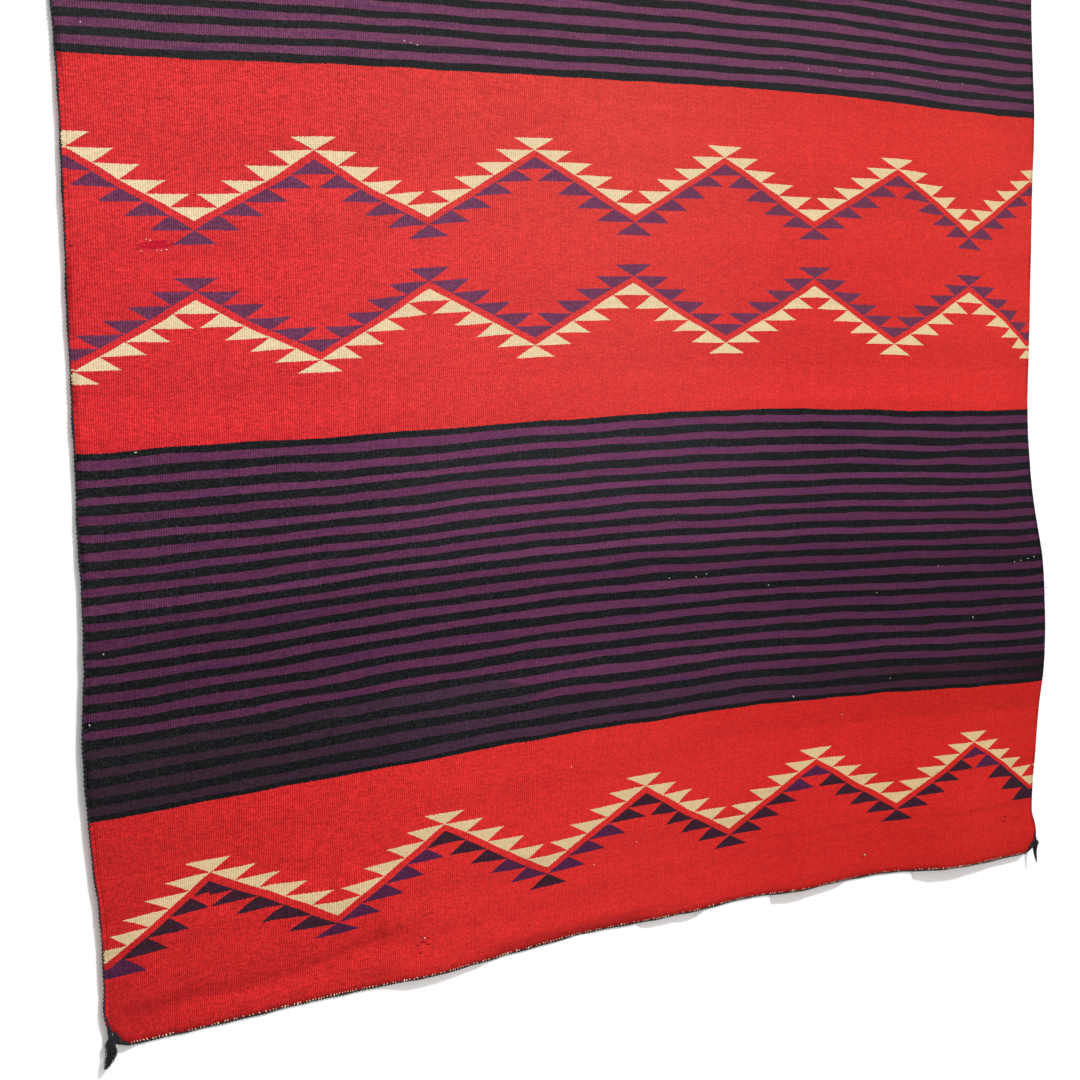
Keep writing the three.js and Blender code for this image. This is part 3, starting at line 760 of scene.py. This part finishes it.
# ---------------------------------------------------------------- cords
mat_cord, bs, K = new_material("black_cord", rough=0.85, sheen=0.15, sheen_rough=0.4, specular=0.2)
geo = K.node("ShaderNodeNewGeometry")
n1 = K.noise(geo.outputs["Position"], 900.0, 3.0, 0.7)
n2 = K.noise(geo.outputs["Position"], 60.0, 2.0, 0.5)
K.put(bs.inputs["Base Color"], K.tone(lin(36, 34, 38), K.add(0.45, K.mul(n1, 0.7), K.mul(n2, 0.4))))
b2 = K.node("ShaderNodeBump")
b2.inputs["Strength"].default_value = 0.6
b2.inputs["Distance"].default_value = 0.0004
K.put(b2.inputs["Height"], n1)
K.put(bs.inputs["Normal"], b2.outputs[0])


def edge_run(which, n):
    """Centre line of the cord along an edge, and the outward direction, n points."""
    cc = 3.4
    if which in ("left", "right"):
        d = np.linspace(cc, WEB_LENGTH - cc, n)
        s = np.zeros(n) if which == "left" else np.ones(n)
        p = web_point(web_x(s, d), d)
        out = np.tile([-1.0 if which == "left" else 1.0, 0, 0], (n, 1))
    else:
        down = 0.0 if which == "top" else WEB_LENGTH
        w = web_x(np.array([0.0, 1.0]), np.array([down, down]))
        k = cc / (w[1] - w[0])
        s = np.linspace(k, 1 - k, n)
        d = np.full(n, down)
        p = web_point(web_x(s, d), d)
        out = np.tile([0, 0, 1.0 if which == "top" else -1.0], (n, 1))
    p[:, 1] -= ripple(web_x(s, d), d) * MM
    return p + out * (GAP + CORD / 2) * MM, out


def twisted(p, out, pitch_mm, gauge, strands=2, spread=None):
    """Strands wound round the line p, as a plied cord."""
    seg = np.linalg.norm(np.diff(p, axis=0), axis=1)
    s = np.concatenate([[0], np.cumsum(seg)]) / MM
    t = np.gradient(p, axis=0)
    t /= np.linalg.norm(t, axis=1)[:, None]
    w = np.cross(t, out)
    w /= np.linalg.norm(w, axis=1)[:, None]
    o = np.cross(w, t)
    spread = gauge if spread is None else spread
    slow = 0.5 * np.sin(s / 61.0) + 0.35 * np.sin(s / 23.0 + 1.0)
    paths = []
    for k in range(strands):
        ph = 2 * np.pi * (s / pitch_mm + k / strands) + slow
        paths.append(p + (np.cos(ph)[:, None] * o + np.sin(ph)[:, None] * w) * spread * MM)
    return paths


for which, node in (("left", "side_cord_left"), ("right", "side_cord_right"),
                    ("top", "end_cord_top"), ("bottom", "end_cord_bottom")):
    sides = which in ("left", "right")
    n = int((WEB_LENGTH if sides else 1270) / 1.2)
    p, out = edge_run(which, n)
    g = {"left": 0.98, "right": 0.68}.get(which, 0.86)
    if not sides:
        p = p - out * 1.05 * MM
    s = np.arange(n) * 1.2
    # a hand-plied cord is nowhere quite even or straight
    p = p + out * (0.35 * np.sin(s / 19 + 0.7) + 0.25 * np.sin(s / 7.3))[:, None] * MM
    pth = twisted(p, out, 9.5 if sides else 7.5, g)
    lump = 0.09 * np.sin(s / 5.3) if sides else 0.30 * np.sin(2 * np.pi * s / 3.4 + 2.2 * np.sin(s / 31))
    rad = [(g * (1 + 0.10 * np.sin(s / 17 + k) + lump + 0.06 * rng.standard_normal(n))) * MM for k in range(2)]
    v, f, wh = tubes(pth, rad, 6)
    o = mesh_object(node + "_plied", v, f)
    o.data.materials.append(mat_cord)
    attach(o, "root")
    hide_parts(node)


def surface(x, d, off=0.0):
    """A point on the web's front face, off mm in front of it."""
    x = np.atleast_1d(np.asarray(x, float))
    d = np.atleast_1d(np.asarray(d, float))
    p = web_point(x, d)
    p[:, 1] -= (ripple(x, d) + WEB_THICK / 2 + off) * MM
    return p


# ---------------------------------------------------------------- warp loops that show along the end cords
mat_loop, bl, L = new_material("warp_loops", rough=0.9, sheen=0.05, specular=0.1)
ga = L.node("ShaderNodeNewGeometry")
la = L.node("ShaderNodeAttribute", attribute_name="hue")
nn = L.noise(ga.outputs["Position"], 500.0, 2.0, 0.6)
lc = L.mix(la.outputs["Fac"], lin(240, 228, 198), lin(214, 150, 128))
L.put(bl.inputs["Base Color"], L.tone(lc, L.add(0.72, L.mul(nn, 0.5))))


def loop_row(which, name):
    paths, radii, tones = [], [], []
    down = 0.0 if which == "top" else WEB_LENGTH
    outz = 1.0 if which == "top" else -1.0
    w = web_x(np.array([0.0, 1.0]), np.array([down, down]))
    x = w[0] + 5
    while x < w[1] - 8:
        x += 3.3 * rng.uniform(0.8, 1.25)
        if rng.random() < 0.2 + 0.25 * x / 1270.0:
            continue
        p = web_point(np.array([x]), np.array([down]))[0]
        p[1] -= float(ripple(np.array([x]), np.array([down]))[0]) * MM
        big = rng.uniform(0.35, 0.8) if rng.random() < 0.86 else rng.uniform(1.1, 1.7)
        lean = rng.normal(0, 0.8)
        k = np.linspace(0, 1, 7)
        top_z = rng.uniform(0.1, 0.9) + 0.5 * (big > 1)
        zz = top_z - (1.0 + 1.0 * big) * k
        yy = -(1.1 + 0.95 * np.sin(np.pi * (0.12 + 0.8 * k)) + 0.2 * big)
        arc = np.stack([lean * (k - 0.5), yy, -outz * -zz], 1) * MM + p
        paths.append(arc)
        swell = np.sin(np.pi * (0.15 + 0.7 * k))
        radii.append((0.36 + 0.28 * big) * (1.0 - 0.3 * x / 1270.0) * swell * MM)
        tones.append(rng.uniform(0.0, 0.35) if rng.random() < 0.4 else rng.uniform(0.4, 1.0))
    v, f, wh = tubes(paths, radii, 6)
    o = mesh_object(name, v, f, attrs={"hue": np.array(tones)[wh]})
    o.data.materials.append(mat_loop)
    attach(o, "root")
    return o


loops = [loop_row("bottom", "warp_loops_bottom"), loop_row("top", "warp_loops_top")]


# ---------------------------------------------------------------- weft turns that grip the side cords
def turn_row(which, name):
    paths, radii, rows_at = [], [], []
    left = which == "left"
    sgn = -1.0 if left else 1.0
    share = np.array([0.0 if left else 1.0])
    d = 3.0
    while d < WEB_LENGTH - 16:
        d += rng.uniform(1.35, 1.9) if left else rng.uniform(1.45, 1.95)
        x = web_x(share, np.array([d]))
        p = web_point(x, np.array([d]))[0]
        p[1] -= float(ripple(x, np.array([d]))[0]) * MM
        k = np.linspace(0, 1, 7)
        tilt = rng.normal(0, 0.3)
        if left:
            # over the inner part of the cord, then down between its plies
            deep = rng.uniform(0.92, 1.08) if rng.random() < 0.91 else rng.uniform(0.3, 0.6)
            thick = rng.uniform(0.92, 1.06)
            xx = sgn * np.array([-2.4, -1.4, -0.4, 0.7 * deep, 1.7 * deep, 2.4 * deep, 2.7 * deep])
            yy = -np.array([0.42, 0.43, 0.52, 0.72, 0.98, 0.92, 0.4])
            prof = np.array([0.5, 0.7, 0.85, 1, 1, 0.9, 0.7])
        else:
            # right round the cord
            thick = rng.uniform(0.86, 1.0)
            xx = np.array([-2.4, -1.2, 0.0, 1.4, 2.8, 3.75, 3.3])
            yy = np.array([-0.46, -0.44, -0.48, -0.64, -0.8, 0.0, 1.0])
            prof = np.array([0.5, 0.7, 0.85, 1, 1, 1, 0.9])
        arc = np.stack([xx, yy, tilt * (k - 0.5)], 1) * MM + p
        paths.append(arc)
        radii.append(thick * prof * MM)
        rows_at.append(d)
    v, f, wh = tubes(paths, radii, 5)
    rows_at = np.array(rows_at)
    xe = web_x(np.full(len(rows_at), share[0]), rows_at) + (3.0 if left else -3.0)
    cu, crw = chart_place(xe[:, None], rows_at[:, None])
    # the yarn's heather varies along each turn
    uvt = np.stack([(cu[wh, 0] + v[:, 1] * 400) / 1300.0, (crw[wh, 0] + MID_ROW) / 1612.0], 1)
    plt = np.stack([xe[wh] / 1300.0, rows_at[wh] / 1612.0], 1)
    o = mesh_object(name, v, f, uvs=uvt, places=plt)
    o.data.materials.append(mat_web)
    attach(o, "root")
    return o


turns = [turn_row("left", "weft_turns_left"), turn_row("right", "weft_turns_right")]

# ---------------------------------------------------------------- corner tassels
mat_tuft, bf, F = new_material("tassel_yarn", rough=0.85, sheen=0.1, sheen_rough=0.5, specular=0.2)
fg = F.node("ShaderNodeNewGeometry")
f1 = F.noise(fg.outputs["Position"], 700.0, 3.0, 0.7)
F.put(bf.inputs["Base Color"], F.tone((0.0095, 0.0095, 0.0145), F.add(0.4, F.mul(f1, 1.2))))

TASSELS = [  # node, share, down, out, below, swing, forward, tail, strands, spread, corner yarns towards
    ("tassel_bottom_left", 0.0, WEB_LENGTH, -12.2, -3.6, 16, 5, 25.0, 120, 1.2),
    ("tassel_bottom_right", 1.0, WEB_LENGTH, 14.4, -9.8, -3, 4, 26.0, 30, 0.5),
    ("tassel_top_left", 0.0, 0.0, -7.2, -4.6, 24, 9, 27.0, 70, 0.9),
    ("tassel_top_right", 1.0, 0.0, 7.2, -4.6, -24, 9, 24.0, 50, 0.8)]
tassels = []
for node, sh, down, outx, below, swing, fwd, tail, count, spread in TASSELS:
    corner = web_point(web_x(np.array([sh]), np.array([down])), np.array([down]))[0]
    centre = np.array([corner[0] + outx * MM, corner[1], corner[2] - below * MM])
    turn = np.array(Matrix.Rotation(math.radians(swing), 3, "Y") @ Matrix.Rotation(math.radians(-fwd), 3, "X"))
    inward = 1.0 if sh == 0.0 else -1.0
    at_foot = down > 0
    paths, radii = [], []
    # the knot: yarn wound over itself
    for k in range(11):
        tilt = rng.uniform(-0.9, 0.9)
        tilt2 = rng.uniform(-0.9, 0.9)
        ang = np.linspace(0, 2 * np.pi, 17)
        r = rng.uniform(3.0, 4.0)
        ring = np.stack([np.cos(ang) * r, np.sin(ang) * r, np.sin(ang + k) * 0.8 + rng.uniform(-1.4, 1.4)], 1)
        m = np.array(Matrix.Rotation(tilt, 3, "X") @ Matrix.Rotation(tilt2, 3, "Y"))
        paths.append((ring @ m.T @ turn.T) * MM + centre)
        radii.append(np.full(17, 1.2))
    # the cords' ends, brought round the web's corner into the knot
    ends = []
    if at_foot:
        side_x, side_d = web_x(np.array([sh]), np.array([WEB_LENGTH - 19.0]))[0] - inward * 2.5, WEB_LENGTH - 19.0
        foot_x = web_x(np.array([sh]), np.array([WEB_LENGTH]))[0] + inward * 5.0
        ends = [(side_x, side_d, 0.4), (foot_x, WEB_LENGTH + 1.8, 0.4),
                (foot_x - inward * 7.0, WEB_LENGTH - 6.5, 0.6), (foot_x - inward * 1.5, WEB_LENGTH - 0.5, 0.6)]
        ends.append((side_x - (2.0 if sh == 0.0 else 0.5), WEB_LENGTH - (31.0 if sh == 0.0 else 26.0), 0.2))
        if sh == 0.0:
            ends += [(web_x(np.array([sh]), np.array([WEB_LENGTH - 13.0]))[0], WEB_LENGTH - 13.0, 0.6),
                     (web_x(np.array([sh]), np.array([WEB_LENGTH - 7.0]))[0] - 0.5, WEB_LENGTH - 7.0, 0.9),
                     (web_x(np.array([sh]), np.array([WEB_LENGTH - 10.0]))[0] - 3.0, WEB_LENGTH - 10.0, 0.9)]
    else:
        side_x = web_x(np.array([sh]), np.array([7.0]))[0] - inward * 2.5
        ends = [(side_x, 5.0, 0.0), (web_x(np.array([sh]), np.array([0.0]))[0] + inward * 5.0, -2.5, 0.0)]
    for ex, ed, ey in ends:
        e = web_point(np.array([ex]), np.array([max(ed, 0.0)]))[0]
        e[2] -= (ed - max(ed, 0.0)) * MM
        e[1] -= ey * MM
        for k in range(9):
            w0 = rng.normal(0, 0.75, 3) * MM
            w1 = rng.normal(0, 1.5, 3) * MM
            q = np.linspace(0, 1, 8)[:, None]
            mid_p = (e + centre) / 2 + np.array([0, -1.2 * MM, 0]) + rng.normal(0, 0.7, 3) * MM
            paths.append((1 - q) ** 2 * (e + w0) + 2 * q * (1 - q) * mid_p + q ** 2 * (centre + w1))
            radii.append(np.linspace(0.75, 0.7, 8))
    # the tuft
    for k in range(count):
        a0 = rng.uniform(0, 2 * np.pi)
        r0 = rng.uniform(0.4, 3.6)
        long = tail * (rng.uniform(0.9, 1.0) if rng.random() < 0.62 else rng.uniform(0.45, 0.88))
        t = np.linspace(0, 1, 10)
        full = spread * rng.uniform(0.3, 4.4)
        belly = np.sin(np.pi * np.clip(0.12 + t * 0.88, 0, 1)) ** 0.75
        rad = r0 * (1 - t) ** 1.5 * 0.8 + full * belly
        wob = rng.normal(0, 0.55, 2) * spread
        wavy = 0.45 * np.sin(t * rng.uniform(4, 9) + rng.uniform(0, 6))
        q = np.stack([np.cos(a0) * rad + wob[0] * t * 1.6 + wavy, np.sin(a0) * rad * 0.8 + wob[1] * t * 1.6,
                      -2.0 - t * long], 1)
        # the tail hangs a little hooked
        q[:, 0] += inward * 2.6 * np.sin(np.pi * t) * spread
        paths.append((q @ turn.T) * MM + centre)
        g0 = rng.uniform(0.28, 0.52)
        radii.append(np.linspace(g0, g0 * 0.3, 10))
    v, f, wh = tubes(paths, [np.asarray(r) * MM for r in radii], 5)
    o = mesh_object(node + "_yarn", v, f)
    o.data.materials.append(mat_tuft)
    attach(o, "root")
    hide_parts(node)
    tassels.append(o)

# ---------------------------------------------------------------- lint, darning ends and stray threads
mat_lint, bn, N = new_material("loose_ends", rough=0.9, specular=0.1)
na = N.node("ShaderNodeAttribute", attribute_name="hue")
ng = N.node("ShaderNodeNewGeometry")
nz = N.noise(ng.outputs["Position"], 800.0, 2.0, 0.6)
nc = N.mix(N.gt(na.outputs["Fac"], 0.5), lin(226, 212, 190), lin(238, 178, 176))
nc = N.mix(N.gt(na.outputs["Fac"], 1.5), nc, lin(120, 14, 26))
nc = N.mix(N.gt(na.outputs["Fac"], 2.5), nc, lin(28, 26, 38))
N.put(bn.inputs["Base Color"], N.tone(nc, N.add(0.75, N.mul(nz, 0.45))))
LINT = [  # x, down, length, gauge, hue (0 pale, 1 pink, 2 dark red, 3 black)
    (80, 793.6, 1.6, 0.5, 1), (84.3, 794.8, 1.8, 0.55, 0), (75, 805.2, 1.8, 0.5, 1), (90.6, 804.6, 1.4, 0.45, 1),
    (95.2, 804.9, 1.6, 0.5, 1), (100.5, 804.2, 2.0, 0.55, 0), (72, 802.5, 3.2, 0.45, 2), (107, 797.5, 3.5, 0.4, 2),
    (364.6, 1568.2, 1.8, 0.65, 0), (361.5, 1572.5, 2.4, 0.6, 3), (356.7, 1575.5, 2.0, 0.5, 2),
    (368.3, 1576.1, 2.2, 0.5, 2), (359.2, 1584.5, 2.6, 0.5, 2), (986, 1585, 3.0, 0.6, 0), (982, 1587.5, 3.0, 0.7, 2),
    (1229, 1557, 2.5, 0.5, 2), (863, 584.5, 1.2, 0.4, 0), (905, 582.8, 1.2, 0.4, 0), (953, 581.5, 1.2, 0.4, 0),
    (1004, 580.2, 1.2, 0.4, 0), (1061, 579.0, 1.2, 0.4, 0), (1110, 578.0, 1.2, 0.4, 0), (1154, 577.4, 1.2, 0.4, 0),
    (1246, 1212, 1.6, 0.5, 0), (1257, 1210.5, 1.4, 0.45, 0), (1270, 1208.8, 1.6, 0.5, 0), (1281, 1207.0, 1.6, 0.55, 0),
    (731.6, 1211.4, 1.5, 0.45, 0), (746.5, 1208.8, 1.3, 0.45, 0), (693.5, 1210.3, 1.3, 0.45, 0),
    (838, 1227.9, 1.4, 0.45, 0), (1007.8, 1244.2, 1.5, 0.45, 0), (1111, 1213.6, 1.5, 0.45, 0),
    (1170.7, 1281, 2.2, 0.55, 0), (874.8, 1367.2, 2.8, 0.6, 0), (1030, 1355.4, 1.4, 0.4, 0),
    (366.5, 583.9, 2.2, 0.5, 0), (374, 585.5, 1.4, 0.45, 0), (381.7, 587.3, 2.0, 0.5, 0), (23.4, 582.2, 2.0, 0.5, 0),
    (61.6, 1006.5, 2.6, 0.6, 0), (6, 1279.1, 1.6, 0.5, 0), (22.3, 1208.4, 1.5, 0.5, 0), (555, 1412, 1.6, 0.5, 0),
    (642, 1513, 1.4, 0.4, 0), (583, 1531, 1.4, 0.4, 0), (950, 1396, 1.6, 0.4, 0)]
paths, radii, tones = [], [], []
for x, d, long, gauge, hue_no in LINT:
    t = np.linspace(-0.5, 0.5, 6)
    turn_a = rng.uniform(-0.9, 0.9)
    xs = x + np.cos(turn_a) * t * long
    ds = d + np.sin(turn_a) * t * long + 0.3 * np.sin(t * 7)
    p = surface(xs, ds, 0.15)
    p[:, 1] -= (0.25 * np.cos(t * np.pi)) * MM
    paths.append(p)
    radii.append(gauge * (0.55 + 0.45 * np.cos(t * np.pi)) * MM)
    tones.append(float(hue_no))
for x1, d1, x2, d2, wide in LINES:
    t = np.linspace(0, 1, 6)
    p = surface(x1 + (x2 - x1) * t, d1 + (d2 - d1) * t + 0.4 * np.sin(t * 9 + x1), 0.0)
    paths.append(p)
    radii.append(wide * (0.5 + 0.5 * np.sin(np.pi * t)) * MM)
    tones.append(2.0)
STRAY = [  # x and down at the edge, end offset in x, y, z (mm), curl, gauge, hue
    (1302.5, 1249.0, 6.0, -2.0, -4.0, 1.2, 0.30, 3), (1302.0, 1258.0, 4.5, -1.5, 1.0, 0.8, 0.30, 3),
    (1297.0, 1366.0, 9.0, -3.0, -6.0, 1.5, 0.30, 3), (1297.0, 1377.0, 8.0, -3.0, 5.5, -1.5, 0.28, 3),
    (-2.0, 547.0, -5.0, -1.0, 3.0, 1.0, 0.28, 3), (-3.0, 560.0, -6.0, -1.0, -2.0, 1.0, 0.28, 3),
    (-1.0, 573.0, -5.0, -1.5, 5.0, -1.0, 0.28, 3), (1.0, 988.0, -3.0, -1.0, 1.0, 1.0, 0.35, 3),
    (2.0, 700.0, -3.0, -1.0, 2.0, 0.8, 0.25, 3), (6.0, 1330.0, -3.0, -1.0, -2.0, 0.8, 0.25, 3)]
for x, d, ox, oy, oz, curl, gauge, hue_no in STRAY:
    e = web_point(np.array([float(x)]), np.array([float(d)]))[0]
    t = np.linspace(0, 1, 10)[:, None]
    p = e + np.array([[ox, oy, oz]]) * MM * t + np.array([[0.3, -0.6, 1.0]]) * MM * curl * np.sin(np.pi * t)
    paths.append(p)
    radii.append(gauge * np.linspace(1, 0.4, 10) * MM)
    tones.append(float(hue_no))
# one pale warp end that pokes out of the bottom left knot
e = tassels and web_point(web_x(np.array([0.0]), np.array([WEB_LENGTH])), np.array([WEB_LENGTH]))[0]
t = np.linspace(0, 1, 8)
paths.append(e + np.stack([-8.2 + 2.2 * t, -5.6 - 0.6 * np.sin(np.pi * t), 3.2 - 4.8 * t], 1) * MM)
radii.append((0.55 * (0.6 + 0.4 * np.sin(np.pi * t))) * MM)
tones.append(0.0)
v, f, wh = tubes(paths, radii, 5)
lint = mesh_object("loose_ends", v, f, attrs={"hue": np.array(tones)[wh]})
lint.data.materials.append(mat_lint)
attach(lint, "root")

# ---------------------------------------------------------------- stage and light
def plain(name, colour, rough=0.95):
    mat, b, s = new_material(name, rough=rough, specular=0.1)
    g = s.node("ShaderNodeNewGeometry")
    k = s.noise(g.outputs["Position"], 3.0, 2.0, 0.5)
    s.put(b.inputs["Base Color"], s.tone(colour, s.add(0.985, s.mul(k, 0.03))))
    return mat, b, s


floor = mesh_object("stage_floor", [(-7, -7, -2.45), (7, -7, -2.45), (7, 7, -2.45), (-7, 7, -2.45)], [(0, 1, 2, 3)])
mat_floor, _, _ = plain("stage_pale", (0.86, 0.86, 0.85))
floor.data.materials.append(mat_floor)

# a pale backdrop close behind the textile, seen only from its front, so that it takes the soft shade of
# the edges and hides nothing from behind
wall_x = np.linspace(0, 1300, 261)
hem_x = np.clip(wall_x, web_x(np.array([0.0]), np.array([WEB_LENGTH]))[0], web_x(np.array([1.0]), np.array([WEB_LENGTH]))[0])
hem = web_point(hem_x, np.full(261, WEB_LENGTH))
hem[:, 1] -= ripple(hem_x, np.full(261, WEB_LENGTH)) * MM
WALL = [  # across, how near the wall stands to the hem there: 0 far, 1 touching
    (0, 0), (22, 0), (44, 1), (300, 1), (345, 0), (425, 0), (448, 1), (640, 1), (654, 0), (726, 0), (744, 1),
    (836, 1), (850, 0), (944, 0), (960, 1), (1064, 1), (1080, 0), (1300, 0)]
touch = np.interp(wall_x, [q[0] for q in WALL], [q[1] for q in WALL])
touch = touch * touch * (3 - 2 * touch)
near_y = np.minimum(hem[:, 1] + 2.4 * MM, 8.5 * MM)
near_y = 8.5 * MM + (near_y - 8.5 * MM) * touch
wall_v, levels = [], 6
for step, (dz, k_) in enumerate(((None, 0.0), (0.5, 0.0), (2.9, 1.0), (70.0, 1.0), (260.0, 0.0), (None, 0.0))):
    px_ = np.concatenate([[-9.0], hem[:, 0] + (wall_x - hem_x) * MM, [9.0]])
    zz_ = np.concatenate([[hem[0, 2]], hem[:, 2], [hem[-1, 2]]]) - (dz or 0.0) * MM
    if dz is None:
        zz_ = np.full(263, 4.0 if step == 0 else -2.45)
    yy_ = 8.5 * MM + (np.concatenate([[8.5 * MM], near_y, [8.5 * MM]]) - 8.5 * MM) * k_
    wall_v.append(np.stack([px_, yy_, zz_], 1))
wall_v = np.concatenate(wall_v)
wall_f = [(r * 263 + c, (r + 1) * 263 + c, (r + 1) * 263 + c + 1, r * 263 + c + 1)
          for r in range(levels - 1) for c in range(262)]
drop = mesh_object("stage_backdrop", wall_v, wall_f, smooth_shade=False)
mat_drop, bd, D = plain("stage_backdrop_pale", (0.985, 0.985, 0.985))
dg = D.node("ShaderNodeNewGeometry")
see = D.node("ShaderNodeBsdfTransparent")
mixs = D.node("ShaderNodeMixShader")
out_node = next(n for n in mat_drop.node_tree.nodes if n.type == "OUTPUT_MATERIAL")
D.put(bd.inputs["Normal"], D.xyz(0.0, -1.0, 0.0))      # it takes light as one flat wall
D.put(mixs.inputs[0], dg.outputs["Backfacing"])
mat_drop.node_tree.links.new(bd.outputs[0], mixs.inputs[1])
mat_drop.node_tree.links.new(see.outputs[0], mixs.inputs[2])
mat_drop.node_tree.links.new(mixs.outputs[0], out_node.inputs[0])
drop.data.materials.append(mat_drop)
drop.visible_diffuse = False
drop.visible_glossy = False
drop.visible_shadow = False

world = bpy.data.worlds.new("studio")
world.use_nodes = True
bg = next(n for n in world.node_tree.nodes if n.type == "BACKGROUND")
bg.inputs[0].default_value = (0.965, 1.0, 0.995, 1.0)
bg.inputs[1].default_value = 0.385
bpy.context.scene.world = world


def lamp(kind, name, place, aim, **props):
    d = bpy.data.lights.new(name, kind)
    for k, v in props.items():
        setattr(d, k, v)
    o = bpy.data.objects.new(name, d)
    bpy.context.collection.objects.link(o)
    o.location = place
    o.rotation_mode = "QUATERNION"
    o.rotation_quaternion = (Vector(aim) - Vector(place)).to_track_quat("-Z", "Y")
    o.visible_camera = False
    return o


# a soft high key from the right, and a broad fill from the front that fades towards the corners
lamp("SUN", "key", (0.60, -1.9, 2.0), (0.0, 0.0, 0.0), energy=2.45, angle=math.radians(5), color=(1.0, 0.985, 0.975))
lamp("AREA", "front", (-0.42, -1.75, -0.40), (-0.1, 0.0, -0.55), shape="DISK", size=1.3, energy=9.6)
